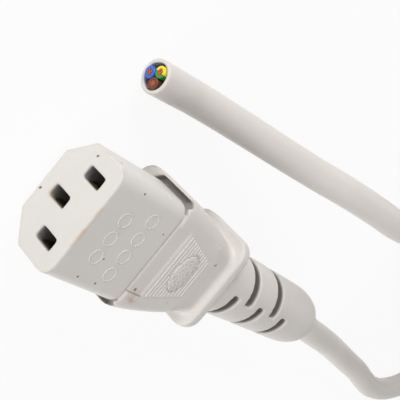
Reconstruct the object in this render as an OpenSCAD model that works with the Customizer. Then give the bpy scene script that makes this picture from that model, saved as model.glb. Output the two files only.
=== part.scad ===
// Rewirable-length mains lead: a moulded three-contact appliance connector with a
// slotted strain relief, and a three-core cord whose far end is cut off square.
// Millimetres. +Y runs from the front face to the cord, +Z is the flat, marked side.
// The origin is at the middle of the connector's footprint, on the surface it lies on.

/* [Front block] */
// Width of the front face
block_w = 24; // [23:0.25:26]
// Height of the front face
block_h = 16; // [15:0.25:18]
// Length of the front block, from its face to the grip
block_l = 20; // [17:0.5:23]
// Cut corner on the earth side, along each edge
block_chamfer = 5.5; // [3.5:0.25:6]
// Corner radius on the marked side
block_corner_r = 3; // [1:0.25:4]
// Width of the seam between the block and the grip
seam_gap = 0.3; // [0.1:0.05:0.6]
// Length of the tongue that holds the block in the grip
tongue_l = 4.5; // [3:0.25:6]
// Step from the block's side in to its tongue
tongue_step = 1.5; // [1:0.1:1.8]

/* [Contacts] */
// Distance between the outer two slots
slot_pitch = 14; // [13:0.25:14.5]
// Height of the outer slots over the earth slot
slot_offset = 4; // [3:0.25:4.5]
// Width of a slot
slot_w = 2.7; // [2.3:0.1:3.1]
// Height of a slot
slot_h = 5.2; // [4.6:0.1:5.4]
// Wall of the front face
face_wall = 1.6; // [1:0.1:2.5]
// Width of the chamber behind a slot
chamber_w = 3.6; // [3.4:0.1:3.9]
// Thickness of the contact strip
strip_t = 0.4; // [0.3:0.05:0.5]
// Length of a contact's spring leaves
leaf_l = 13; // [11:0.5:14]
// Opening between the leaves where they grip a pin
pinch_gap = 1.8; // [1.4:0.1:1.9]
// Outer radius of the crimp barrel
barrel_r = 1.35; // [1.25:0.05:1.5]
// Length of the crimp barrel
barrel_l = 5.5; // [4:0.5:7]

/* [Grip] */
// How far the shoulder stands out beside the block
shoulder_out = 1.6; // [1:0.1:2.5]
// Height of the contacts' middle line above the surface
axis_h = 9.5; // [9.25:0.05:10.5]
// Corner radius of the grip's section
grip_corner_r = 4; // [3:0.25:5]
// Width of the grip at its waist
waist_w = 18; // [16:0.5:20]
// Distance from the front face to the waist
waist_at = 41.4; // [39:0.2:42.4]
// Width of the rear collar
collar_w = 23; // [22:0.5:25]
// How far the collar stands up from the flat side
collar_up = 0.9; // [0.4:0.1:1.5]
// Distance from the front face to the collar's lip
collar_at = 42.8; // [42.6:0.2:45]
// Length of the collar's rim
collar_l = 2.9; // [2:0.1:4]
// Depth of the groove around the block in the shoulder
recess_d = 1.4; // [0.6:0.1:2]
// Width of that groove
recess_w = 1.15; // [0.6:0.05:1.3]

/* [Flat side] */
// Depth of the sunk panel behind the seam
panel_d = 0.2; // [0.1:0.05:0.4]
// Length of the sunk panel
panel_l = 4.6; // [3.5:0.1:5]
// Height of the ribs and plain marks
relief_h = 0.25; // [0.1:0.05:0.4]
// Number of ribs on the grip
rib_count = 11; // [8:1:13]
// Distance from rib to rib
rib_pitch = 0.9; // [0.8:0.05:0.95]
// Width of a rib
rib_w = 0.45; // [0.3:0.05:0.6]
// Length of the plain pad among the ribs
pad_l = 8.4; // [6:0.2:10]
// Width of the plain pad
pad_w = 4.8; // [3:0.2:6]

/* [Strain relief] */
// Radius of the strain relief at the collar
relief_r = 8.1; // [7:0.1:8.5]
// Radius of the strain relief before its rounded end
relief_end_r = 7.5; // [6.5:0.1:7.8]
// Length of the strain relief behind the collar
relief_l = 46.3; // [42:0.5:55]
// Length of its rounded end
nose_l = 10; // [8:0.5:12]
// Number of slots, on alternate sides
slit_count = 5; // [3:1:5]
// Distance from slot to slot
slit_pitch = 5.55; // [5:0.05:6]
// Width of a slot
slit_w = 2.6; // [1.5:0.1:3]
// Distance from the collar to the middle of the first slot
slit_from = 6.4; // [5:0.1:8]
// How far round each slot runs, in degrees
slit_turn = 188; // [150:2:200]
// Wall left over the cord under the slots
sleeve_t = 0.8; // [0.5:0.1:2]

/* [Cord] */
// Diameter of the cord
cord_d = 7; // [6.4:0.1:7.4]
// Clearance around the cord in the strain relief
cord_gap = 0.05; // [0.02:0.01:0.2]
// Wall of the cord's sheath at the cut end
sheath_t = 0.75; // [0.6:0.05:0.8]
// Diameter of an insulated core
core_d = 2.44; // [2.2:0.02:2.5]
// Diameter of a copper conductor
wire_d = 1.2; // [1:0.05:1.4]
// Length over which the cut end is modelled open
cut_l = 8; // [6:0.5:9]
// How far the copper stands out of the cut
wire_out = 0.3; // [0.1:0.05:1]

/* [Hidden] */
// Small overlap that keeps cuts clean
cut = 0.1;
// Running clearance around the contacts and the tongue
fit = 0.1;
round_fn = 96;
corner_fn = 32;

// The connector's own places, measured from its front face and its contacts' middle line
grip_at = block_l + seam_gap;
grip_top = block_h / 2;
grip_low = -axis_h;
shoulder_w = block_w + 2 * shoulder_out;
tongue_end = block_l + tongue_l;
collar_end = collar_at + collar_l;
plug_l = collar_end + relief_l;
panel_end = grip_at + panel_l;
rib_from = panel_end + 1;

// The contacts, from the middle of each slot
line_at = [slot_pitch / 2, slot_offset / 2];
neutral_at = [-slot_pitch / 2, slot_offset / 2];
earth_at = [0, -slot_offset / 2];
leaf_from = face_wall + 0.6;
web_end = leaf_from + leaf_l + 4;
web_half = chamber_w / 2 - fit;
web_low = -slot_h / 2 + 2 * fit;
barrel_at = web_end + 1;
barrel_end = barrel_at + barrel_l;
barrel_drop = web_low + barrel_r;
bare_end = barrel_end + 1.2;
plug_wire_r = barrel_r - strip_t - 0.03;

// The cores, bundled as a triangle inside the sheath
cord_r = cord_d / 2;
core_r = core_d / 2;
wire_r = wire_d / 2;
bundle_r = core_d / sqrt(3) + 0.015;
sheath_at = collar_end + 1.3;

// The cord's route over the surface, from inside the strain relief to the wound hank.
// Its height follows the cord's own radius.
lead_route = [
    [0, 47.7, 0], [1.2, 53, -0.2], [2.1, 62, -1.3], [3.4, 73.5, -2.9], [5, 84.5, -4.6],
    [6.6, 95, -5.7], [8.2, 106, -6], [10, 114, -6], [11, 122, -6], [8.9, 132.7, -6],
    [2.8, 141.8, -6], [-6.3, 147.9, -6], [-17, 150, -6], [-27.7, 147.9, -6],
    [-36.8, 141.8, -6], [-42.9, 132.7, -6]
];
// The route from the top of the hank down to the cut end
tail_route = [
    [-45, 101, 18], [-45, 93, 19.6], [-45, 85, 22.4], [-44.6, 76, 24.4], [-43.2, 66, 24.8],
    [-40.6, 56, 24.4], [-37.4, 46, 23.3], [-34.6, 35.5, 21.5], [-33.8, 23.2, 19.2],
    [-33.1, 14.7, 16.6], [-32, 6.3, 13.2], [-30.8, -5.3, 9.2], [-29.8, -16.6, 5.9]
];
// The cut face of the cord, and the way it looks
cut_at = [-27.5, -41.8];
cut_turn = 5.5;

// The hank: turns of cord around two end loops, three layers high
hank_loop = 21;
hank_run = 60;
hank_from = [-66, 70];
hank_layers = 3;
hank_h = hank_layers * cord_d;
tie_w = 12;
tie_t = 1.2;
tie_at = 42;

plastic = [0.78, 0.75, 0.72];
brass = [0.80, 0.65, 0.32];
copper = [0.72, 0.42, 0.26];
brown = [0.38, 0.20, 0.12];
blue = [0.16, 0.35, 0.72];
earth_green = [0.55, 0.68, 0.18];

// Puts the connector's own frame on the surface, with the footprint's middle at the origin.
module seated() {
    translate([0, -plug_l / 2, axis_h]) children();
}

// Turns a flat X-Z outline into a prism along +Y, from one distance to another.
module along(from, to) {
    translate([0, from, 0])
        rotate([90, 0, 0])
            mirror([0, 0, 1])
                linear_extrude(height = to - from) children();
}

// A cylinder along +Y.
module rod(r, from, to) {
    translate([0, from, 0])
        rotate([-90, 0, 0])
            cylinder(r = r, h = to - from, $fn = round_fn);
}

// The block's outline, drawn in by inset: two cut corners below, two round ones above.
module block_outline(inset = 0) {
    half_w = block_w / 2 - inset;
    half_h = block_h / 2 - inset;
    c = block_chamfer - inset * (2 - sqrt(2));
    r = max(block_corner_r - inset, 0.5);
    hull() {
        for (side = [-1, 1]) {
            translate([side * (half_w - r), half_h - r]) circle(r = r, $fn = corner_fn);
            translate([side * (half_w - 0.5), -half_h + c]) circle(r = 0.5, $fn = corner_fn);
            translate([side * (half_w - c), -half_h + 0.5]) circle(r = 0.5, $fn = corner_fn);
        }
    }
}

module slot_outline(w, h) {
    square([w, h], center = true);
}

// Small plain marks on the block's flat side, in a row of three and a row of four.
module block_marks() {
    for (row = [[7.2, 3], [13.3, 4]]) {
        for (i = [0 : row[1] - 1]) {
            translate([(i - (row[1] - 1) / 2) * 4.25, row[0], grip_top - cut])
                linear_extrude(height = cut + relief_h * 0.6)
                    bar_outline(2.6, 1);
        }
    }
}

// A flat bar with round ends, along X.
module bar_outline(l, w) {
    square([l - w, w], center = true);
    for (side = [-1, 1]) {
        translate([side * (l - w) / 2, 0]) circle(d = w, $fn = corner_fn);
    }
}

module contact_block() {
    color(plastic) seated() {
        difference() {
            union() {
                along(0, block_l) block_outline();
                along(block_l - cut, tongue_end) block_outline(tongue_step);
                block_marks();
            }
            for (at = [line_at, neutral_at, earth_at]) {
                translate([at[0], 0, at[1]]) {
                    along(-cut, face_wall + cut) slot_outline(slot_w, slot_h);
                    along(face_wall, tongue_end + cut) slot_outline(chamber_w, slot_h);
                }
            }
        }
    }
}

// Half width of the grip at a distance from the front face: a swelling taper from the
// shoulder to the waist, then a short hollow flare to the collar.
function grip_half(y) =
    y <= waist_at
        ? shoulder_w / 2 - (shoulder_w - waist_w) / 2 * pow((y - grip_at) / (waist_at - grip_at), 1.6)
        : waist_w / 2 + (collar_w - waist_w) / 2 * flare(y);

// 0 at the waist and 1 at the collar's lip, along a quarter of a circle.
function flare(y) =
    let (t = min(1, (y - waist_at) / (collar_at - waist_at)))
    1 - sqrt(1 - t * t);

// The flat side dips a little behind the ribs and sweeps up to the collar's lip.
function grip_up(y) =
    let (dip_from = collar_at - 6.8, t = (y - dip_from) / (waist_at - dip_from))
    y <= dip_from ? grip_top
        : y <= waist_at ? grip_top - 0.5 * (1 - cos(180 * t)) / 2
        : grip_top - 0.5 + (0.5 + collar_up) * flare(y);

// The underside is drawn in at the waist too.
function grip_down(y) =
    y <= waist_at
        ? grip_low + 1.5 * pow((y - grip_at) / (waist_at - grip_at), 1.6)
        : grip_low + 1.5 * (1 - flare(y));

// One ring of the grip's section, a rectangle with round corners, drawn in by inset.
function grip_ring(y, inset = 0) =
    let (
        half = grip_half(y) - inset,
        up = grip_up(y) - inset,
        down = grip_down(y) + inset,
        r = grip_corner_r - inset / 2
    )
    [
        for (corner = [[1, up, 0], [-1, up, 90], [-1, down, 180], [1, down, 270]])
            for (a = [0 : 15 : 90])
                [
                    corner[0] * (half - r) + r * cos(corner[2] + a),
                    y,
                    (corner[1] == up ? up - r : down + r) + r * sin(corner[2] + a)
                ]
    ];

// Joins rings of equal length into one closed solid.
module loft(rings) {
    n = len(rings[0]);
    last = len(rings) - 1;
    points = [for (ring = rings) for (p = ring) p];
    sides = [
        for (i = [0 : last - 1])
            for (j = [0 : n - 1])
                for (tri = [[0, 1, 2], [0, 2, 3]])
                    let (
                        quad = [
                            i * n + j, i * n + (j + 1) % n,
                            (i + 1) * n + (j + 1) % n, (i + 1) * n + j
                        ]
                    )
                    [for (k = tri) quad[k]]
    ];
    front = [[for (j = [n - 1 : -1 : 0]) j]];
    back = [[for (j = [0 : n - 1]) last * n + j]];
    polyhedron(points = points, faces = concat(sides, front, back), convexity = 6);
}

// The outside of the grip, from the shoulder to the back of the collar.
module grip_body() {
    edge = 0.5;
    swell = [for (i = [1 : 9]) grip_at + edge + i * (waist_at - grip_at - edge) / 9];
    hollow = [for (i = [1 : 6]) waist_at + (collar_at - waist_at) * sin(15 * i)];
    loft(concat(
        [grip_ring(grip_at, edge), grip_ring(grip_at + edge)],
        [for (y = swell) grip_ring(y)],
        [for (y = hollow) grip_ring(y)],
        [grip_ring(collar_end - 0.6), grip_ring(collar_end, 0.6)]
    ));
}

// The sunk panel, the ribs and the plain pad on the flat side.
module panel_cut() {
    translate([-8, grip_at - cut, grip_top - panel_d])
        cube([16, panel_l + cut, panel_d + 1]);
}

module rib_field() {
    for (i = [0 : rib_count - 1]) {
        half = 7.6 - 0.3 * i;
        translate([-half, rib_from + i * rib_pitch, grip_top - 1])
            cube([2 * half, rib_w, 1 + relief_h]);
    }
}

module pad() {
    middle = rib_from + (rib_count - 1) * rib_pitch / 2 + rib_w / 2;
    translate([0, middle, grip_top - 1])
        linear_extrude(height = 1 + relief_h * 1.6) bar_outline(pad_l, pad_w);
}

// Profile of the strain relief: a slight taper that ends in a quarter of an ellipse.
module strain_relief() {
    inner = cord_r + cord_gap;
    nose_from = plug_l - nose_l;
    nose = [
        for (a = [0 : 10 : 90])
            [
                cord_r + 0.6 + (relief_end_r - cord_r - 0.6) * cos(a),
                nose_from + nose_l * sin(a)
            ]
    ];
    rotate([-90, 0, 0])
        rotate_extrude($fn = round_fn)
            polygon(concat(
                [[inner, collar_end - 1], [relief_r, collar_end - 1]],
                nose,
                [[inner, plug_l]]
            ));
}

// One slot, as part of a ring that is open on the far side.
module slit(middle, side) {
    translate([0, middle - slit_w / 2, 0])
        rotate([0, side > 0 ? 0 : 180, 0])
            rotate([-90, 0, 0])
                rotate([0, 0, -slit_turn / 2])
                    rotate_extrude(angle = slit_turn, $fn = round_fn)
                        translate([cord_r + cord_gap + sleeve_t, 0])
                            square([relief_r, slit_w]);
}

// Room for the three cores between the contacts and the end of the sheath.
module core_room() {
    hull() {
        along(tongue_end - cut, tongue_end + 3)
            translate([0, -0.6])
                square([slot_pitch + 4.6, slot_offset + 5], center = true);
        rod(cord_r - 0.1, sheath_at - 4, sheath_at + cut);
    }
}

module grip_overmould() {
    color(plastic) seated() {
        difference() {
            union() {
                grip_body();
                rib_field();
                pad();
                strain_relief();
            }
            panel_cut();
            along(grip_at - cut, tongue_end) block_outline(tongue_step - fit / 2);
            difference() {
                along(grip_at - cut, grip_at + recess_d) block_outline(-recess_w);
                along(grip_at - 2 * cut, grip_at + recess_d + cut) block_outline(0.3);
                translate([-block_w, grip_at - 1, grip_top - 1.2])
                    cube([2 * block_w, recess_d + 2, 3]);
            }
            core_room();
            rod(cord_r + cord_gap, sheath_at, plug_l + cut);
            for (i = [0 : slit_count - 1]) {
                slit(collar_end + slit_from + i * slit_pitch, i % 2 == 0 ? 1 : -1);
            }
        }
    }
}

// A female contact: two sprung leaves on a folded strip, with a crimp barrel behind.
module contact(at) {
    pinch = leaf_from + 3.4;
    leaf_end = leaf_from + leaf_l;
    inner = [
        [pinch_gap / 2 + 0.35, leaf_from],
        [pinch_gap / 2, pinch],
        [web_half - strip_t, pinch + 4],
        [web_half - strip_t, leaf_end]
    ];
    outer = [for (p = [3 : -1 : 0]) inner[p] + [strip_t, 0]];
    color(brass) seated() translate([at[0], 0, at[1]]) {
        difference() {
            union() {
                for (side = [0, 1]) {
                    mirror([side, 0, 0])
                        translate([0, 0, web_low])
                            linear_extrude(height = -2 * web_low) polygon(concat(inner, outer));
                }
                translate([-web_half, leaf_end - 4, web_low])
                    cube([2 * web_half, web_end - leaf_end + 4, strip_t]);
                translate([-barrel_r * 0.7, web_end - cut, web_low])
                    cube([barrel_r * 1.4, barrel_at - web_end + 1, strip_t]);
                translate([0, 0, barrel_drop]) rod(barrel_r, barrel_at, barrel_end);
            }
            translate([0, 0, barrel_drop]) rod(barrel_r - strip_t, barrel_at - cut, barrel_end + cut);
        }
    }
}

// The stripped copper in a crimp barrel.
module plug_wire(at) {
    color(copper) seated()
        translate([at[0], 0, at[1] + barrel_drop]) rod(plug_wire_r, barrel_at + 0.8, bare_end);
}

// Sweeps a many-sided tube along a route, with rings square to it.
module tube(route, r, sides) {
    last = len(route) - 1;
    loft([
        for (i = [0 : last])
            let (
                way = route[min(i + 1, last)] - route[max(i - 1, 0)],
                forward = way / norm(way),
                across = cross(forward, [0, 0, 1]),
                right = across / norm(across),
                up = cross(right, forward)
            )
            [
                for (k = [0 : sides - 1])
                    let (a = 360 * (k + 0.5) / sides)
                    route[i] + r * cos(a) * right + r * sin(a) * up
            ]
    ]);
}

// A core's way from its crimp to its place in the bundle, with a short straight run
// at each end.
module plug_core(at, bundle_angle, shade) {
    run = [0, 1, 0];
    from = [at[0], bare_end, at[1] + barrel_drop];
    to = [bundle_r * cos(bundle_angle), sheath_at, bundle_r * sin(bundle_angle)];
    way = to - from - 2 * run;
    bend = [
        for (i = [0 : 6])
            let (t = i / 6, e = (1 - cos(180 * t)) / 2)
            from + run + [way[0] * e, way[1] * t, way[2] * e]
    ];
    color(shade) seated() tube(concat([from], bend, [to]), core_r, 12);
}

// The hank's outline, a flat loop with round ends.
module hank_outline() {
    hull() {
        for (y = [0, hank_run]) {
            translate([hank_from[0], hank_from[1] + y])
                circle(r = hank_loop + cord_r, $fn = round_fn);
        }
    }
}

module hank_solid() {
    linear_extrude(height = hank_h) hank_outline();
}

module cord_hank() {
    color(plastic) difference() {
        hank_solid();
        tie_band();
    }
}

// A band around the hank, which draws its turns in by its own thickness.
module tie_band() {
    half = hank_loop + cord_r;
    translate([hank_from[0], hank_from[1] + tie_at, hank_h / 2])
        difference() {
            cube([2 * half + cut, tie_w, hank_h + cut], center = true);
            cube([2 * (half - tie_t), tie_w + cut, hank_h - 2 * tie_t], center = true);
        }
}

module hank_tie() {
    color(plastic) intersection() {
        hank_solid();
        tie_band();
    }
}

// The cord from the end of its sheath, through the strain relief, to the hank.
module cord_lead() {
    inside = [[0, sheath_at - plug_l / 2, axis_h], [0, plug_l / 2 - 1, axis_h]];
    color(plastic) difference() {
        tube(concat(inside, [for (p = lead_route) [p[0], p[1], p[2] + axis_h]]), cord_r, 12);
        hank_solid();
    }
}

module cord_tail() {
    end = [cut_place([0, cut_l + 4, 0]), cut_place([0, cut_l, 0])];
    color(plastic) difference() {
        tube(concat(tail_route, end), cord_r, 12);
        hank_solid();
    }
}

// A point beside the cut end, in the surface's frame: x across, y into the cord, z up.
function cut_place(p) = [
    cut_at[0] + p[0] * cos(cut_turn) - p[1] * sin(cut_turn),
    cut_at[1] + p[0] * sin(cut_turn) + p[1] * cos(cut_turn),
    cord_r + p[2]
];

module at_cut() {
    translate(cut_place([0, 0, 0])) rotate([0, 0, cut_turn]) children();
}

module cut_sheath() {
    color(plastic) at_cut() difference() {
        rod(cord_r, 0, cut_l);
        rod(cord_r - sheath_t, -cut, cut_l + cut);
    }
}

module cut_core(angle, shade) {
    color(shade) at_cut()
        translate([bundle_r * cos(angle), 0, bundle_r * sin(angle)])
            difference() {
                rod(core_r, 0, cut_l);
                rod(wire_r + 0.02, -cut, cut_l + cut);
            }
}

module cut_wire(angle) {
    color(copper) at_cut()
        translate([bundle_r * cos(angle), 0, bundle_r * sin(angle)]) rod(wire_r, -wire_out, cut_l);
}

contact_block();
grip_overmould();
contact(line_at);  // line_contact
contact(neutral_at);  // neutral_contact
contact(earth_at);  // earth_contact
plug_wire(line_at);  // line_wire
plug_wire(neutral_at);  // neutral_wire
plug_wire(earth_at);  // earth_wire
plug_core(line_at, 30, brown);  // line_core
plug_core(neutral_at, 150, blue);  // neutral_core
plug_core(earth_at, 270, earth_green);  // earth_core
cord_lead();
cord_hank();
hank_tie();
cord_tail();
cut_sheath();
cut_core(30, brown);  // cut_line_core
cut_core(270, blue);  // cut_neutral_core
cut_core(150, earth_green);  // cut_earth_core
cut_wire(30);  // cut_line_wire
cut_wire(270);  // cut_neutral_wire
cut_wire(150);  // cut_earth_wire
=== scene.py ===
import math
import bpy
import bmesh
from mathutils import Matrix, Vector


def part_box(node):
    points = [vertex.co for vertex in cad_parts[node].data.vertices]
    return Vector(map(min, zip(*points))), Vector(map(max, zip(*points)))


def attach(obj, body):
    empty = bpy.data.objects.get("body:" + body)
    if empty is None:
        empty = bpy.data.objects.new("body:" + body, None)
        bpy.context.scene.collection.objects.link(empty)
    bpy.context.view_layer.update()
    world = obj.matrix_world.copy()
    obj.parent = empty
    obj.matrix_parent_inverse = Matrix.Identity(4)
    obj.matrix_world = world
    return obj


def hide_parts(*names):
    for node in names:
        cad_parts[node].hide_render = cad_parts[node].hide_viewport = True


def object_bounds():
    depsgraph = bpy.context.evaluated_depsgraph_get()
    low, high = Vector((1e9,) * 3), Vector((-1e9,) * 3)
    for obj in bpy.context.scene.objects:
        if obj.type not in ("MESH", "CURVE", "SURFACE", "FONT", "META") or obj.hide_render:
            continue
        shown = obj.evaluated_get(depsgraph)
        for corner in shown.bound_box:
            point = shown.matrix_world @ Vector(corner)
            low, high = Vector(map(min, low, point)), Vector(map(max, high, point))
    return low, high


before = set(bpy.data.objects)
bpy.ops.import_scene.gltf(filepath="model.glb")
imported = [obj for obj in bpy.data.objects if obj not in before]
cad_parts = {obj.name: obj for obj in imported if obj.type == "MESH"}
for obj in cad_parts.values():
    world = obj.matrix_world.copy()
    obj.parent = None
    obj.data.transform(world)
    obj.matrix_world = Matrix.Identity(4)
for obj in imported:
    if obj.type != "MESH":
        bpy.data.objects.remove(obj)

mm = 0.001
cadLow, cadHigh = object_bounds()
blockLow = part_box("contact_block")[0]
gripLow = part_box("grip_overmould")[0]
faceY = blockLow.y                 # the front face
flatZ = gripLow.z + 0.0175         # the flat, marked side
axisZ = gripLow.z + 0.0095         # middle line of the contacts
print("frame loaded", [round(v * 1000, 1) for v in (*cadLow, *cadHigh)])

# camera

camera = bpy.data.objects.new("camera", bpy.data.cameras.new("camera"))
bpy.context.scene.collection.objects.link(camera)
bpy.context.scene.camera = camera
right = Vector((-0.62937, 0.53643, 0.56226)).normalized()
back = Vector((-0.11111, -0.77822, 0.61809)).normalized()
up = back.cross(right).normalized()
right = up.cross(back)
camera.matrix_world = Matrix.Translation((-0.03458, -0.16590, 0.12867)) @ Matrix(
    (right, up, back)).transposed().to_4x4()
camera.data.lens = 85.5
camera.data.sensor_width = 36
camera.data.clip_start = 0.01
camera.data.clip_end = 10

# helpers


def addObject(name, mesh):
    piece = bpy.data.objects.new(name, mesh)
    bpy.context.scene.collection.objects.link(piece)
    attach(piece, "root")
    return piece


def meshFrom(name, shape):
    mesh = bpy.data.meshes.new(name)
    shape.to_mesh(mesh)
    shape.free()
    for face in mesh.polygons:
        face.use_smooth = True
    return mesh


def inMillimetres(shape, place=Matrix.Identity(4)):
    # scales a shape made in millimetres and sets it in its place
    bmesh.ops.transform(shape, matrix=place @ Matrix.Scale(mm, 4), verts=shape.verts)


# shader groups


def newGroup(name, inputs, outputs):
    group = bpy.data.node_groups.new(name, "ShaderNodeTree")
    for label, kind, value in inputs:
        socket = group.interface.new_socket(label, in_out="INPUT", socket_type=kind)
        socket.default_value = value
    for label, kind in outputs:
        group.interface.new_socket(label, in_out="OUTPUT", socket_type=kind)
    return group, group.nodes.new("NodeGroupInput"), group.nodes.new("NodeGroupOutput")


def node(tree, kind, **values):
    made = tree.nodes.new(kind)
    for key, value in values.items():
        setattr(made, key, value)
    return made


def mathNode(tree, how, first, second):
    made = node(tree, "ShaderNodeMath", operation=how)
    for i, value in enumerate((first, second)):
        if isinstance(value, (int, float)):
            made.inputs[i].default_value = value
        else:
            tree.links.new(value, made.inputs[i])
    return made.outputs[0]


def rangeNode(tree, value, fromLow, fromHigh, toLow, toHigh):
    made = node(tree, "ShaderNodeMapRange")
    tree.links.new(value, made.inputs["Value"])
    for label, number in (("From Min", fromLow), ("From Max", fromHigh),
                          ("To Min", toLow), ("To Max", toHigh)):
        made.inputs[label].default_value = number
    return made.outputs[0]


def noiseNode(tree, where, scale, detail=3.0, roughness=0.5):
    made = node(tree, "ShaderNodeTexNoise")
    made.inputs["Scale"].default_value = scale
    made.inputs["Detail"].default_value = detail
    made.inputs["Roughness"].default_value = roughness
    tree.links.new(where, made.inputs["Vector"])
    return made.outputs["Fac"]


def makeSkinGroup():
    # soft moulded vinyl: slow tone drift, satin patches and a very fine orange peel
    group, into, out = newGroup(
        "vinylSkin",
        [("Vector", "NodeSocketVector", (0, 0, 0))],
        [("Tone", "NodeSocketFloat"), ("Gloss", "NodeSocketFloat"), ("Height", "NodeSocketFloat")])
    where = into.outputs["Vector"]
    slow = noiseNode(group, where, 55, 4)
    fine = noiseNode(group, where, 900, 3, 0.6)
    peel = noiseNode(group, where, 2600, 2)
    tone = mathNode(group, "ADD", mathNode(group, "MULTIPLY", slow, 0.75),
                    mathNode(group, "MULTIPLY", fine, 0.25))
    patches = noiseNode(group, where, 140, 4)
    gloss = mathNode(group, "ADD", mathNode(group, "MULTIPLY", patches, 0.7),
                     mathNode(group, "MULTIPLY", fine, 0.3))
    height = mathNode(group, "ADD", mathNode(group, "MULTIPLY", fine, 0.4),
                      mathNode(group, "MULTIPLY", peel, 0.6))
    group.links.new(rangeNode(group, tone, 0.3, 0.7, 0, 1), out.inputs["Tone"])
    group.links.new(rangeNode(group, gloss, 0.3, 0.7, 0, 1), out.inputs["Gloss"])
    group.links.new(height, out.inputs["Height"])
    return group


def makeSpeckGroup():
    # sparse specks: small dots of uneven size
    group, into, out = newGroup(
        "dirtSpecks",
        [("Vector", "NodeSocketVector", (0, 0, 0)), ("Cells", "NodeSocketFloat", 300.0),
         ("Size", "NodeSocketFloat", 0.12)],
        [("Mask", "NodeSocketFloat")])
    bent = node(group, "ShaderNodeVectorMath", operation="MULTIPLY_ADD")
    ripple = node(group, "ShaderNodeTexNoise")
    ripple.inputs["Scale"].default_value = 1500
    group.links.new(into.outputs["Vector"], ripple.inputs["Vector"])
    group.links.new(ripple.outputs["Color"], bent.inputs[0])
    bent.inputs[1].default_value = (0.0006, 0.0006, 0.0006)
    group.links.new(into.outputs["Vector"], bent.inputs[2])
    cells = node(group, "ShaderNodeTexVoronoi")
    group.links.new(bent.outputs[0], cells.inputs["Vector"])
    group.links.new(into.outputs["Cells"], cells.inputs["Scale"])
    pick = node(group, "ShaderNodeSeparateColor")
    group.links.new(cells.outputs["Color"], pick.inputs[0])
    chosen = mathNode(group, "GREATER_THAN", pick.outputs[0], 0.72)
    size = mathNode(group, "MULTIPLY", pick.outputs[1], into.outputs["Size"])
    near = mathNode(group, "LESS_THAN", cells.outputs["Distance"], size)
    group.links.new(mathNode(group, "MULTIPLY", chosen, near), out.inputs["Mask"])
    return group


vinylSkin = makeSkinGroup()
dirtSpecks = makeSpeckGroup()


def startMaterial(name, roughness=0.4, metallic=0.0, **sockets):
    material = bpy.data.materials.new(name)
    material.use_nodes = True
    tree = material.node_tree
    shader = tree.nodes["Principled BSDF"]
    shader.inputs["Roughness"].default_value = roughness
    shader.inputs["Metallic"].default_value = metallic
    for label, value in sockets.items():
        shader.inputs[label].default_value = value
    where = tree.nodes.new("ShaderNodeTexCoord").outputs["Object"]
    return material, tree, shader, where


def placeGroup(tree, group, where, **values):
    made = node(tree, "ShaderNodeGroup", node_tree=group)
    tree.links.new(where, made.inputs["Vector"])
    for label, value in values.items():
        made.inputs[label].default_value = value
    return made


def mixColours(tree, amount, first, second):
    made = node(tree, "ShaderNodeMix", data_type="RGBA")
    for index, value in ((0, amount), (6, first), (7, second)):
        socket = made.inputs[index]
        if isinstance(value, bpy.types.NodeSocket):
            tree.links.new(value, socket)
        elif isinstance(value, (int, float)):
            socket.default_value = value
        else:
            socket.default_value = (*value, 1)
    return made.outputs[2]


def linear(colour):
    # a colour as it looks on screen, turned to the shader's linear values
    return tuple(c / 12.92 if c <= 0.04045 else ((c + 0.055) / 1.055) ** 2.4 for c in colour)


def addPeel(tree, skin, shader, strength):
    bump = node(tree, "ShaderNodeBump")
    bump.inputs["Strength"].default_value = strength
    bump.inputs["Distance"].default_value = 0.00003
    tree.links.new(skin.outputs["Height"], bump.inputs["Height"])
    tree.links.new(bump.outputs[0], shader.inputs["Normal"])


def vinyl(name, pale, deep, roughness, peel, specks, tint=None):
    # specks: how many to a metre, their size and how strongly they show
    material, tree, shader, where = startMaterial(name, IOR=1.5)
    skin = placeGroup(tree, vinylSkin, where)
    dirt = placeGroup(tree, dirtSpecks, where, Cells=specks[0], Size=specks[1])
    colour = mixColours(tree, skin.outputs["Tone"], linear(pale), linear(deep))
    if tint:
        colour = tint(tree, where, colour)
    colour = mixColours(tree, mathNode(tree, "MULTIPLY", dirt.outputs["Mask"], specks[2]),
                        colour, linear((0.42, 0.27, 0.19)))
    tree.links.new(colour, shader.inputs["Base Color"])
    tree.links.new(rangeNode(tree, skin.outputs["Gloss"], 0, 1, roughness - 0.05, roughness + 0.06),
                   shader.inputs["Roughness"])
    addPeel(tree, skin, shader, peel)
    return material


def insideOf(tree, value, low, high, soft=0.0001):
    # 1 where the value lies between low and high, with soft ends
    return mathNode(tree, "MULTIPLY", rangeNode(tree, value, low, low + soft, 0, 1),
                    rangeNode(tree, value, high - soft, high, 1, 0))


def allOf(tree, *masks):
    made = masks[0]
    for mask in masks[1:]:
        made = mathNode(tree, "MULTIPLY", made, mask)
    return made


def slotShadeAndRimTan(tree, where, colour):
    # painted shade: a darker colour inside the front slots, then a patchy tan along the rim of the
    # face
    split = node(tree, "ShaderNodeSeparateXYZ")
    tree.links.new(where, split.inputs[0])
    # painted shade deep inside the front slots, where little light gets in
    frontSlotShade = allOf(tree, insideOf(tree, split.outputs["X"], -0.0092, 0.0092),
                    insideOf(tree, split.outputs["Z"], axisZ - 0.005, axisZ + 0.005),
                    insideOf(tree, split.outputs["Y"], faceY + 0.0003, faceY + 0.026, 0.0005))
    colour = mixColours(tree, frontSlotShade, colour, linear((0.55, 0.545, 0.54)))
    fromFace = mathNode(tree, "SUBTRACT", split.outputs["Y"], faceY)
    rim = rangeNode(tree, fromFace, 0.0003, 0.0012, 1, 0)
    inner = rangeNode(tree, fromFace, 0.0, 0.00015, 0, 1)
    patchy = rangeNode(tree, noiseNode(tree, where, 260, 3), 0.45, 0.7, 0, 1)
    amount = mathNode(tree, "MULTIPLY", mathNode(tree, "MULTIPLY", rim, inner), patchy)
    return mixColours(tree, mathNode(tree, "MULTIPLY", amount, 0.55), colour,
                      linear((0.80, 0.66, 0.52)))


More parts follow.
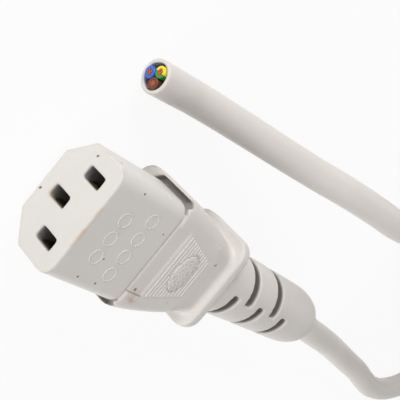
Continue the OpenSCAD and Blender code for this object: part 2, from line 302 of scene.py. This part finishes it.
def gripShadeAndRub(tree, where, colour):
    # painted shade on the shoulder's edge, in its groove and in the slots, a darker colour at the
    # panel's end, and one rust-brown rub
    split = node(tree, "ShaderNodeSeparateXYZ")
    tree.links.new(where, split.inputs[0])
    across = mathNode(tree, "ABSOLUTE", split.outputs["X"], 0)
    above = mathNode(tree, "SUBTRACT", split.outputs["Z"], axisZ)
    along = split.outputs["Y"]
    # painted shade in the groove round the block, behind the shoulder's edge
    grooveShade = allOf(tree, insideOf(tree, across, -1, 0.0133, 0.0003),
                   insideOf(tree, above, -0.0091, 0.0070, 0.0004),
                   insideOf(tree, along, faceY + 0.0204, faceY + 0.0221, 0.0003))
    squares = mathNode(tree, "ADD", mathNode(tree, "POWER", across, 2),
                       mathNode(tree, "POWER", above, 2))
    fromAxis = mathNode(tree, "SQRT", squares, 0)
    outside = rangeNode(tree, along, faceY + 0.0457, faceY + 0.082, 0.0081, 0.0075)
    deep = mathNode(tree, "SUBTRACT", outside, fromAxis)
    # painted shade down in the strain relief's slots, below its outer skin
    slotShade = allOf(tree, rangeNode(tree, deep, 0.00015, 0.0008, 0, 1),
                  insideOf(tree, along, faceY + 0.0495, faceY + 0.0765, 0.0004))
    panelEnd = allOf(tree, insideOf(tree, split.outputs["X"], 0.0078, 0.0082, 0.0001),
                     insideOf(tree, along, faceY + 0.0203, faceY + 0.0250, 0.0003))
    # painted shadow: a grey crescent on the shoulder's front edge, darker towards the top
    rim = allOf(tree, insideOf(tree, across, 0.0105, 0.02),
                rangeNode(tree, above, 0.001, 0.006, 0, 1),
                insideOf(tree, along, faceY + 0.0200, faceY + 0.02075, 0.0002))
    # mixes in the painted shade of the shoulder's edge, the slots and the groove
    colour = mixColours(tree, mathNode(tree, "MULTIPLY", rim, 0.6), colour,
                        linear((0.48, 0.46, 0.44)))
    colour = mixColours(tree, mathNode(tree, "MULTIPLY", slotShade, 0.95), colour,
                        linear((0.42, 0.395, 0.37)))
    colour = mixColours(tree, mathNode(tree, "MULTIPLY", grooveShade, 0.8), colour,
                        linear((0.45, 0.43, 0.41)))
    colour = mixColours(tree, mathNode(tree, "MULTIPLY", panelEnd, 0.6), colour,
                        linear((0.42, 0.36, 0.30)))
    spot = node(tree, "ShaderNodeVectorMath", operation="DISTANCE")
    tree.links.new(where, spot.inputs[0])
    spot.inputs[1].default_value = (0.0090, faceY + 0.0232, flatZ - 0.0005)
    near = rangeNode(tree, spot.outputs["Value"], 0.0003, 0.0022, 1, 0)
    patchy = rangeNode(tree, noiseNode(tree, where, 900, 3), 0.4, 0.65, 0, 1)
    amount = mathNode(tree, "MULTIPLY", near, patchy)
    return mixColours(tree, mathNode(tree, "MULTIPLY", amount, 0.6), colour,
                      linear((0.66, 0.42, 0.27)))


blockVinyl = vinyl("blockVinyl", (0.86, 0.845, 0.825), (0.835, 0.82, 0.80), 0.38, 0.35,
                   (420, 0.19, 0.85), slotShadeAndRimTan)
gripVinyl = vinyl("gripVinyl", (0.86, 0.84, 0.82), (0.835, 0.815, 0.795), 0.42, 0.4,
                  (260, 0.10, 0.75), gripShadeAndRub)
cordVinyl = vinyl("cordVinyl", (0.86, 0.84, 0.82), (0.835, 0.81, 0.79), 0.36, 0.3, (60, 0.03, 0.5))


def coreInsulation(name, pale, deep, stripe=None):
    # stripe: its colour, and the x that it starts from
    material, tree, shader, where = startMaterial(name, roughness=0.32)
    skin = placeGroup(tree, vinylSkin, where)
    colour = mixColours(tree, skin.outputs["Tone"], linear(pale), linear(deep))
    if stripe:
        split = node(tree, "ShaderNodeSeparateXYZ")
        tree.links.new(where, split.inputs[0])
        stripeColour, stripeFrom = stripe
        waver = mathNode(tree, "MULTIPLY", noiseNode(tree, where, 300), 0.0003)
        side = mathNode(tree, "GREATER_THAN", mathNode(tree, "ADD", split.outputs["X"], waver),
                        stripeFrom)
        colour = mixColours(tree, side, colour, linear(stripeColour))
    tree.links.new(colour, shader.inputs["Base Color"])
    tree.links.new(rangeNode(tree, skin.outputs["Gloss"], 0, 1, 0.28, 0.42),
                   shader.inputs["Roughness"])
    addPeel(tree, skin, shader, 0.3)
    return material


def drawnMetal(name, pale, deep, roughness):
    material, tree, shader, where = startMaterial(name, metallic=1.0)
    drawn = node(tree, "ShaderNodeMapping")
    drawn.inputs["Scale"].default_value = (1, 0.08, 1)
    tree.links.new(where, drawn.inputs["Vector"])
    skin = placeGroup(tree, vinylSkin, drawn.outputs[0])
    colour = mixColours(tree, skin.outputs["Tone"], linear(pale), linear(deep))
    tree.links.new(colour, shader.inputs["Base Color"])
    tree.links.new(rangeNode(tree, skin.outputs["Gloss"], 0, 1, roughness, roughness + 0.16),
                   shader.inputs["Roughness"])
    addPeel(tree, skin, shader, 0.25)
    return material


brass = drawnMetal("brassStrip", (0.52, 0.46, 0.34), (0.44, 0.38, 0.28), 0.34)
copper = drawnMetal("copperStrand", (0.86, 0.52, 0.34), (0.72, 0.40, 0.25), 0.28)
brownCore = coreInsulation("brownCore", (0.42, 0.24, 0.16), (0.33, 0.18, 0.12))
blueCore = coreInsulation("blueCore", (0.22, 0.40, 0.80), (0.16, 0.32, 0.70))
earthCore = coreInsulation("earthCore", (0.92, 0.88, 0.20), (0.86, 0.80, 0.16),
                           ((0.20, 0.56, 0.25), -0.0285))      # splits the cut end's core
print("materials made")

# the cord: one length from inside the strain relief to the cut end

cord = {
    "diameter": 7 * mm,
    "inside": [(0, 44.5, 9.5), (0, 46, 9.5)],
    "lead": [(0, 47.7, 9.5), (1.2, 53, 9.3), (2.1, 62, 8.2), (3.4, 73.5, 6.6), (5, 84.5, 4.9),
             (6.6, 95, 3.8), (8.2, 106, 3.5), (10, 114, 3.5), (11, 122, 3.5), (8.9, 132.7, 3.5),
             (2.8, 141.8, 3.5), (-6.3, 147.9, 3.5), (-17, 150, 3.5), (-27.7, 147.9, 3.5),
             (-36.8, 141.8, 3.5), (-42.9, 132.7, 3.5)],
    "tail": [(-45, 93, 19.6), (-45, 85, 22.4), (-44.6, 76, 24.4), (-43.2, 66, 24.8),
             (-40.6, 56, 24.4), (-37.4, 46, 23.3), (-34.6, 35.5, 21.5), (-33.8, 23.2, 19.2),
             (-33.1, 14.7, 16.6), (-32, 6.3, 13.2), (-30.8, -5.3, 9.2), (-29.8, -16.6, 5.9)],
    "cutFace": (-27.5, -41.8, 3.5),
    "cutTurn": 5.5,                      # degrees
    "hankLoops": (-66, 70, 130),         # x, and the y of each end loop's middle
    "lanes": (21, 14),                   # outer and inner turn
    "levels": (3.5, 10.5, 17.5),
    "tieAt": 112,
    "tieThick": 1.2,
    "straight": 60, "bend": 55,          # one side and one end of a turn, as steps of its way
    "perTurn": 30,                       # points in a turn
    "moveOver": 28,                      # steps that a move to the next place takes
}


def cutPlace(x, y, z):
    # a point beside the cut end: x across, y into the cord, z up
    turn = math.radians(cord["cutTurn"])
    fx, fy, fz = cord["cutFace"]
    return (fx + x * math.cos(turn) - y * math.sin(turn),
            fy + x * math.sin(turn) + y * math.cos(turn), fz + z)


def ease(t):
    t = min(1.0, max(0.0, t))
    return (1 - math.cos(math.pi * t)) / 2


def hankPoint(along, radius, height):
    # along runs down the near side, round the front loop, up the far side, round the rear loop
    middle, front, rear = cord["hankLoops"]
    frontBend = cord["straight"]
    farSide = frontBend + cord["bend"]
    rearBend = farSide + cord["straight"]
    if along < frontBend:
        x, y = middle + radius, rear - along
    elif along < farSide:
        a = (along - frontBend) / cord["bend"] * math.pi
        x, y = middle + radius * math.cos(a), front - radius * math.sin(a)
    elif along < rearBend:
        x, y = middle - radius, front + along - farSide
    else:
        a = (along - rearBend) / cord["bend"] * math.pi
        x, y = middle - radius * math.cos(a), rear + radius * math.sin(a)
    onSide = along < frontBend or farSide < along < rearBend
    held = math.exp(-((y - cord["tieAt"]) / 9) ** 2) if onSide else 0
    x -= math.copysign(cord["tieThick"] * held, x - middle)
    return (x, y, height + cord["tieThick"] * held)


def hankTurns():
    # each turn moves to the next free place at its own spot, so that none lies in another
    outer, inner = cord["lanes"]
    low, mid, top = cord["levels"]
    turns = [((outer, low), (inner, low), 163), ((inner, low), (inner, mid), 133),
             ((inner, mid), (outer, mid), 103), ((outer, mid), (inner, top), 66),
             ((inner, top), (outer, top), 32)]
    wholeTurn = 2 * (cord["straight"] + cord["bend"])
    points = []
    for index, (start, end, moveAt) in enumerate(turns):
        for step in range(cord["perTurn"]):
            along = step * wholeTurn / cord["perTurn"]
            if index == 0 and along < 8:
                continue
            move = ease((along - moveAt) / cord["moveOver"])
            radius = start[0] + (end[0] - start[0]) * move
            height = start[1] + (end[1] - start[1]) * move
            if index == 3:       # climbs round the turn beside it
                radius = start[0] + (end[0] - start[0]) * (1 - math.cos(move * math.pi / 2))
                height = start[1] + (end[1] - start[1]) * math.sin(move * math.pi / 2)
            if index == 4:       # and the top turn rides over that crossing
                height += 4.6 * math.exp(-((along - 80) / 11) ** 2)
            points.append(hankPoint(along, radius, height))
    for along in (0, 8, 15, 22, 29):
        points.append(hankPoint(along, outer, top + (0.5 if along == 29 else 0)))
    return points


cordPoints = [*cord["inside"], *cord["lead"], *hankTurns(), *cord["tail"],
              cutPlace(0, 12, 0), cutPlace(0, 8, 0), cutPlace(0, 5, 0)]
cordCurve = bpy.data.curves.new("cordLine", "CURVE")
cordCurve.dimensions = "3D"
cordCurve.bevel_depth = cord["diameter"] / 2
cordCurve.bevel_resolution = 12
cordCurve.resolution_u = 4
spline = cordCurve.splines.new("BEZIER")
spline.bezier_points.add(len(cordPoints) - 1)
for knot, place in zip(spline.bezier_points, cordPoints):
    knot.co = Vector(place) * mm + Vector((0, 0, 0.00006))    # clear of the floor
    knot.handle_left_type = knot.handle_right_type = "AUTO"
cordCurve.use_fill_caps = True
cordShape = bpy.data.objects.new("cordShape", cordCurve)
bpy.context.scene.collection.objects.link(cordShape)


def meshOfCurve(depth):
    cordCurve.bevel_depth = depth
    bpy.context.view_layer.update()
    graph = bpy.context.evaluated_depsgraph_get()
    return bpy.data.meshes.new_from_object(cordShape.evaluated_get(graph))


cordPath = [tuple(vert.co) for vert in meshOfCurve(0).vertices]
cordMesh = meshOfCurve(cord["diameter"] / 2)
bpy.data.objects.remove(cordShape)
for face in cordMesh.polygons:
    face.use_smooth = True
cordMesh.materials.clear()
cordMesh.materials.append(cordVinyl)
cordLine = addObject("cordLine", cordMesh)
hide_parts("cord_lead", "cord_hank", "cord_tail")
print("cord laid over", len(cordPoints), "points")

# the cut end of the cord

cutEndSizes = {
    "sheath": 3.5, "wall": 0.75, "core": 1.22, "wire": 0.6, "strand": 0.115, "bundle": 1.42,
    "proud": {"brown": 0.25, "blue": 0.45, "earth": 0.3},
}
cutMatrix = Matrix.Translation(Vector(cord["cutFace"]) * mm) @ Matrix.Rotation(
    math.radians(cord["cutTurn"]), 4, "Z") @ Matrix.Rotation(math.radians(-90), 4, "X")


def ringStack(shape, rings, sides, wobble=None):
    # bridges round loops of (radius, height) into one closed skin
    loops = []
    for radius, height in rings:
        made = bmesh.ops.create_circle(shape, cap_ends=False, segments=sides, radius=radius)
        for vert in made["verts"]:
            vert.co.z = height
            if wobble:
                wobble(vert)
        loops.append(list({edge for vert in made["verts"] for edge in vert.link_edges}))
    for first, second in [*zip(loops, loops[1:]), (loops[-1], loops[0])]:
        bmesh.ops.bridge_loops(shape, edges=first + second)


def makeCutSheath():
    outer = cutEndSizes["sheath"]
    inner = outer - cutEndSizes["wall"]
    shape = bmesh.new()

    def sawn(vert):
        # the saw's face waves a little and has one torn notch
        angle = math.atan2(vert.co.y, vert.co.x)
        if vert.co.z < 0.15:
            notch = math.exp(-((angle - 0.9) / 0.16) ** 2)
            wave = 0.05 * math.sin(2 * angle + 1) + 0.02 * math.sin(5 * angle)
            vert.co.z += wave + 0.13 * notch

    # from the bore's far end to the sawn face, then back along the outside
    ringStack(shape, [(inner, 7.9), (inner, 3), (inner, 0.4), (inner + 0.02, 0.1),
                      (inner + 0.12, 0.0), (outer - 0.3, -0.03), (outer - 0.08, 0.02),
                      (outer + 0.02, 0.18), (outer + 0.03, 0.6), (outer + 0.03, 1.2),
                      (outer + 0.025, 4), (outer + 0.012, 7.5), (outer + 0.008, 7.8),
                      (outer - 0.02, 7.86), (outer - 0.15, 7.9)], 72, wobble=sawn)
    inMillimetres(shape, cutMatrix)
    bmesh.ops.recalc_face_normals(shape, faces=shape.faces)
    piece = addObject("cutSheath", meshFrom("cutSheath", shape))
    piece.data.materials.append(cordVinyl)
    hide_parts("cut_sheath")
    return piece


def makeCutCore(name, nodes, angle, colour, proud):
    core, wire, strand = (cutEndSizes[key] for key in ("core", "wire", "strand"))
    x, y = (cutEndSizes["bundle"] * f(math.radians(angle)) for f in (math.cos, math.sin))
    place = cutMatrix @ Matrix.Translation((x * mm, -y * mm, 0))
    shape = bmesh.new()
    ringStack(shape, [(wire + 0.03, 7.9), (wire + 0.03, -proud + 0.3),
                      (wire + 0.05, -proud + 0.05), (wire + 0.12, -proud), (core - 0.12, -proud),
                      (core - 0.02, -proud + 0.08), (core, -proud + 0.3), (core, 7.9)], 40)
    inMillimetres(shape, place)
    bmesh.ops.recalc_face_normals(shape, faces=shape.faces)
    sleeve = addObject("cut" + name + "Core", meshFrom("cut" + name + "Core", shape))
    sleeve.data.materials.append(colour)
    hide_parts(nodes[0])

    shape = bmesh.new()
    ends = [(0, 0)] + [(ring * 0.245 * math.cos(a), ring * 0.245 * math.sin(a))
                       for ring, many in ((1, 6), (2, 12))
                       for a in [2 * math.pi * k / many + 0.3 * ring for k in range(many)]]
    for index, (sx, sy) in enumerate(ends):
        made = bmesh.ops.create_cone(shape, cap_ends=True, segments=10, radius1=strand,
                                     radius2=strand, depth=8)
        reach = proud + 0.08 * math.sin(index * 2.4)
        bmesh.ops.translate(shape, verts=made["verts"], vec=(sx, sy, 4 - reach))
    bmesh.ops.bevel(shape, geom=[e for e in shape.edges if abs(e.calc_face_angle(0)) > 1.2],
                    offset=0.03, segments=2, affect="EDGES", profile=0.5, material=-1)
    inMillimetres(shape, place)
    strands = addObject("cut" + name + "Wire", meshFrom("cut" + name + "Wire", shape))
    strands.data.materials.append(copper)
    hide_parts(nodes[1])
    return [sleeve, strands]


cutPieces = [makeCutSheath()]
for name, nodes, angle, colour, slot in (
        ("Brown", ("cut_line_core", "cut_line_wire"), 30, brownCore, "core_brown"),
        ("Blue", ("cut_neutral_core", "cut_neutral_wire"), 270, blueCore, "core_blue"),
        ("Earth", ("cut_earth_core", "cut_earth_wire"), 150, earthCore, "core_earth")):
    cutPieces += makeCutCore(name, nodes, angle, colour,
                             cutEndSizes["proud"][name.lower()])
print("cut end made")

# the tie round the hank

tie = {"width": 12, "thick": 1.2, "corner": 4.5}


def makeTie():
    low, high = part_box("hank_tie")
    wide, tall = (high.x - low.x) * 1000, (high.z - low.z) * 1000
    shape = bmesh.new()
    bmesh.ops.create_grid(shape, x_segments=1, y_segments=1, size=0.5)
    bmesh.ops.scale(shape, vec=(wide, tall + tie["thick"], 1), verts=shape.verts)
    bmesh.ops.delete(shape, geom=shape.faces[:], context="FACES_ONLY")
    bmesh.ops.bevel(shape, geom=shape.verts[:], offset=tie["corner"], segments=6,
                    affect="VERTICES", profile=0.5, material=-1)
    run = bmesh.ops.extrude_edge_only(shape, edges=shape.edges[:])
    ends = [v for v in run["geom"] if isinstance(v, bmesh.types.BMVert)]
    bmesh.ops.translate(shape, verts=ends, vec=(0, 0, tie["width"]))
    bmesh.ops.recalc_face_normals(shape, faces=shape.faces)
    bmesh.ops.subdivide_edges(shape, edges=[e for e in shape.edges if abs(
        (e.verts[0].co - e.verts[1].co).z) > 1], cuts=5, use_grid_fill=True)
    turn = Matrix.Rotation(math.radians(90), 4, "X")
    place = Matrix.Translation(((low.x + high.x) / 2, high.y,
                                (low.z + high.z + tie["thick"] * mm) / 2))
    inMillimetres(shape, place @ turn)
    band = addObject("hankTie", meshFrom("hankTie", shape))
    thick = band.modifiers.new("thick", "SOLIDIFY")
    thick.thickness = tie["thick"] * mm
    thick.offset = -1
    edges = band.modifiers.new("edges", "BEVEL")
    edges.width = 0.3 * mm
    edges.segments = 2
    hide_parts("hank_tie")
    return band


hankTie = makeTie()
hankTie.data.materials.append(vinyl("tieVinyl", (0.80, 0.79, 0.77), (0.76, 0.75, 0.73), 0.45,
                                    0.6, (60, 0.03, 0.4)))
print("tie made")

# the moulded block and grip


def mouldedCopy(name, source, voxel, material, field):
    # a merged copy of a CAD solid, remeshed evenly and relaxed so that its edges are moulded soft
    shape = bmesh.new()
    shape.from_mesh(bpy.data.objects[source].data)
    bmesh.ops.remove_doubles(shape, verts=shape.verts, dist=0.000001)
    piece = addObject(name, meshFrom(name + "Raw", shape))
    even = piece.modifiers.new("even", "REMESH")
    even.mode = "VOXEL"
    even.voxel_size = voxel * mm
    even.use_smooth_shade = True
    graph = bpy.context.evaluated_depsgraph_get()
    mesh = bpy.data.meshes.new_from_object(piece.evaluated_get(graph))
    piece.modifiers.clear()
    shape = bmesh.new()
    shape.from_mesh(mesh)
    for _ in range(moulded["passes"]):
        bmesh.ops.smooth_vert(shape, verts=shape.verts, factor=0.5, use_axis_x=True,
                              use_axis_y=True, use_axis_z=True)
    # the field under the fine relief is levelled, and the relief is laid on it
    halfWide, start, end = field
    for vert in shape.verts:
        inField = abs(vert.co.x) < halfWide * mm and start < (vert.co.y - faceY) / mm < end
        if inField and vert.co.z > flatZ - 0.5 * mm:
            vert.co.z = flatZ
    piece.data = meshFrom(name, shape)
    piece.data.materials.append(material)
    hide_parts(source)
    print(name, len(piece.data.polygons), "faces")
    return piece


moulded = {
    "passes": 3,
    "blockVoxel": 0.24, "blockField": (8.6, 5, 16),        # half width, start and end
    "gripVoxel": 0.33, "gripField": (8.2, 25.4, 36.2),
    "panel": (7.9, 20.7, 24.7), "panelSunk": 0.22, "panelReach": 0.6,
}
mouldedCopy("blockBody", "contact_block", moulded["blockVoxel"], blockVinyl,
            moulded["blockField"])
gripBody = mouldedCopy("gripBody", "grip_overmould", moulded["gripVoxel"], gripVinyl,
                       moulded["gripField"])
halfPanel, panelStart, panelEnd = moulded["panel"]
for vert in gripBody.data.vertices:      # the sunk panel gets a level floor and a clean step
    fromFace = (vert.co.y - faceY) / mm
    nearFlat = vert.co.z > flatZ - moulded["panelReach"] * mm
    if abs(vert.co.x) < halfPanel * mm and panelStart < fromFace < panelEnd and nearFlat:
        vert.co.z = flatZ - moulded["panelSunk"] * mm

# plain rings on the block, and the ribs and pad on the grip

relief = {
    "rings": [(7.2, (-4.25, 0, 4.25)), (13.3, (-6.4, -2.15, 2.1, 6.35))],   # y, and each ring's x
    "ringRadius": 1.5, "ringWire": 0.16,
    "ribFirst": 26.1, "ribPitch": 0.9, "ribCount": 11, "ribWide": 0.42, "ribHigh": 0.2,
    "ribSunk": 0.3, "ribHalf": 7.6, "ribShorter": 0.3,
    "pad": (4.3, 2.55), "padClear": 0.45, "padHigh": 0.3, "padSunk": 0.4,
}


def onFlat(x, y, z=0.0):
    return Matrix.Translation((x * mm, faceY + y * mm, flatZ + z * mm))


def makeRings():
    shape = bmesh.new()
    radius, wire = relief["ringRadius"], relief["ringWire"]
    for y, places in relief["rings"]:
        for x in places:
            part = bmesh.new()
            made = bmesh.ops.create_circle(part, cap_ends=False, segments=10, radius=wire)
            bmesh.ops.rotate(part, verts=made["verts"], cent=(0, 0, 0),
                             matrix=Matrix.Rotation(math.radians(90), 3, "X"))
            bmesh.ops.translate(part, verts=made["verts"], vec=(radius, 0, -0.06))
            bmesh.ops.spin(part, geom=part.verts[:] + part.edges[:], cent=(0, 0, 0),
                           axis=(0, 0, 1), angle=2 * math.pi, steps=40, use_merge=True)
            bmesh.ops.scale(part, vec=(1, 0.92, 1), verts=part.verts)
            inMillimetres(part, onFlat(x, y))
            bmesh.ops.recalc_face_normals(part, faces=part.faces)
            mesh = bpy.data.meshes.new("ring")
            part.to_mesh(mesh)
            part.free()
            shape.from_mesh(mesh)
    return shape


def addBar(shape, left, right, y):
    made = bmesh.ops.create_cube(shape, size=1)
    high = relief["ribHigh"] + relief["ribSunk"]
    bmesh.ops.scale(shape, vec=(right - left, relief["ribWide"], high), verts=made["verts"])
    bmesh.ops.translate(shape, vec=((left + right) / 2, y, relief["ribHigh"] - high / 2),
                        verts=made["verts"])


def makeRibs():
    shape = bmesh.new()
    first, pitch, count = relief["ribFirst"], relief["ribPitch"], relief["ribCount"]
    middle = first + (count - 1) * pitch / 2 + 0.1
    padWide, padDeep = relief["pad"]
    for index in range(count):
        y = first + index * pitch
        half = relief["ribHalf"] - relief["ribShorter"] * index
        reach = abs(y - middle) / (padDeep + relief["padClear"])
        if reach < 1:      # the rib stops short of the pad on both sides
            stop = (padWide + relief["padClear"]) * math.sqrt(1 - reach * reach)
            addBar(shape, stop, half, y)
            addBar(shape, -half, -stop, y)
        else:
            addBar(shape, -half, half, y)
    bmesh.ops.bevel(shape, geom=shape.edges[:], offset=0.09, segments=2, affect="EDGES",
                    profile=0.5, material=-1)
    inMillimetres(shape, onFlat(0, 0))
    pad = bmesh.new()
    made = bmesh.ops.create_circle(pad, cap_ends=True, segments=56, radius=1)
    bmesh.ops.scale(pad, vec=(padWide, padDeep, 1), verts=made["verts"])
    padFace = pad.faces[:]
    bmesh.ops.translate(pad, vec=(0, 0, -relief["padSunk"]), verts=pad.verts)
    lifted = bmesh.ops.extrude_face_region(pad, geom=padFace)
    bmesh.ops.translate(pad, vec=(0, 0, relief["padSunk"] + relief["padHigh"]),
                        verts=[v for v in lifted["geom"] if isinstance(v, bmesh.types.BMVert)])
    rim = [e for e in pad.edges if min(v.co.z for v in e.verts) > 0]
    bmesh.ops.bevel(pad, geom=rim, offset=0.14, segments=3, affect="EDGES", profile=0.5,
                    material=-1)
    inMillimetres(pad, onFlat(0, middle))
    bmesh.ops.recalc_face_normals(pad, faces=pad.faces)
    mesh = bpy.data.meshes.new("pad")
    pad.to_mesh(mesh)
    pad.free()
    return shape, mesh


blockRings = addObject("blockRings", meshFrom("blockRings", makeRings()))
blockRings.data.materials.append(blockVinyl)
ribShape, padMesh = makeRibs()
gripRibs = addObject("gripRibs", meshFrom("gripRibs", ribShape))
gripRibs.data.materials.append(gripVinyl)
for face in padMesh.polygons:
    face.use_smooth = True
gripPad = addObject("gripPad", padMesh)


def stippledVinyl():
    material = gripVinyl.copy()
    material.name = "stippledVinyl"
    tree = material.node_tree
    bump = next(n for n in tree.nodes if n.bl_idname == "ShaderNodeBump")
    where = next(n for n in tree.nodes if n.bl_idname == "ShaderNodeTexCoord").outputs["Object"]
    dots = node(tree, "ShaderNodeTexVoronoi")
    dots.inputs["Scale"].default_value = 1900
    tree.links.new(where, dots.inputs["Vector"])
    tree.links.new(dots.outputs["Distance"], bump.inputs["Height"])
    bump.inputs["Strength"].default_value = 0.7
    bump.inputs["Distance"].default_value = 0.0003
    return material


gripPad.data.materials.append(stippledVinyl())
print("relief laid")

# what stays as the CAD made it, inside the block and grip

for nodeName, material in (
        ("line_contact", brass), ("neutral_contact", brass), ("earth_contact", brass),
        ("line_wire", copper), ("neutral_wire", copper), ("earth_wire", copper),
        ("line_core", brownCore), ("neutral_core", blueCore), ("earth_core", earthCore)):
    kept = bpy.data.objects[nodeName]
    kept.data.materials.clear()
    kept.data.materials.append(material)

# floor, backdrop colour and lamps

studio = {"floor": 3.0, "floorGlow": 0.90, "ambient": 0.40, "key": 4.2, "side": 3.4, "fill": 0.8}


def seenRays(tree):
    # 1 for rays that come from the camera, from a reflection or through glass
    seen = node(tree, "ShaderNodeLightPath")
    return mathNode(tree, "MAXIMUM", seen.outputs["Is Camera Ray"],
                    mathNode(tree, "MAXIMUM", seen.outputs["Is Glossy Ray"],
                             seen.outputs["Is Transmission Ray"]))


def makeFloor():
    shape = bmesh.new()
    bmesh.ops.create_circle(shape, cap_ends=True, segments=96, radius=studio["floor"])
    bmesh.ops.translate(shape, verts=shape.verts, vec=(0, 0, cadLow.z))
    mesh = meshFrom("floor", shape)
    floor = bpy.data.objects.new("floor", mesh)
    bpy.context.scene.collection.objects.link(floor)
    material, tree, shader, where = startMaterial("floorPaper", roughness=0.9)
    colour = mixColours(tree, noiseNode(tree, where, 40), (0.97, 0.97, 0.97), (0.96, 0.96, 0.96))
    tree.links.new(colour, shader.inputs["Base Color"])
    glow = node(tree, "ShaderNodeEmission")
    glow.inputs["Strength"].default_value = 1.0
    both = node(tree, "ShaderNodeMixShader")
    tree.links.new(mathNode(tree, "MULTIPLY", seenRays(tree), studio["floorGlow"]), both.inputs[0])
    tree.links.new(shader.outputs[0], both.inputs[1])
    tree.links.new(glow.outputs[0], both.inputs[2])
    tree.links.new(both.outputs[0], tree.nodes["Material Output"].inputs["Surface"])
    floor.data.materials.append(material)


def makeWorld():
    world = bpy.data.worlds.new("studio")
    world.use_nodes = True
    tree = world.node_tree
    plain = tree.nodes["Background"]
    plain.inputs["Color"].default_value = (1.0, 0.995, 0.985, 1)
    plain.inputs["Strength"].default_value = studio["ambient"]
    white = node(tree, "ShaderNodeBackground")
    white.inputs["Strength"].default_value = 1.0
    both = node(tree, "ShaderNodeMixShader")
    tree.links.new(seenRays(tree), both.inputs[0])
    tree.links.new(plain.outputs[0], both.inputs[1])
    tree.links.new(white.outputs[0], both.inputs[2])
    tree.links.new(both.outputs[0], tree.nodes["World Output"].inputs["Surface"])
    bpy.context.scene.world = world


def addLamp(name, way, distance, size, power):
    lamp = bpy.data.lights.new(name, "AREA")
    lamp.shape = "DISK"
    lamp.size = size
    lamp.energy = power
    holder = bpy.data.objects.new(name, lamp)
    bpy.context.scene.collection.objects.link(holder)
    aim = Vector((-0.01, 0.0, 0.01))
    away = Vector(way).normalized()
    turn = away.to_track_quat("Z", "Y").to_matrix().to_4x4()
    holder.matrix_world = Matrix.Translation(aim + away * distance) @ turn


makeFloor()
makeWorld()
addLamp("keyLamp", (-0.74, -0.60, 0.30), 0.8, 0.45, studio["key"])
addLamp("sideLamp", (0.88, -0.38, 0.16), 0.8, 0.5, studio["side"])
addLamp("fillLamp", (0.5, -0.3, 0.8), 0.9, 0.7, studio["fill"])
bpy.context.scene.view_settings.view_transform = "Standard"
print("studio set")
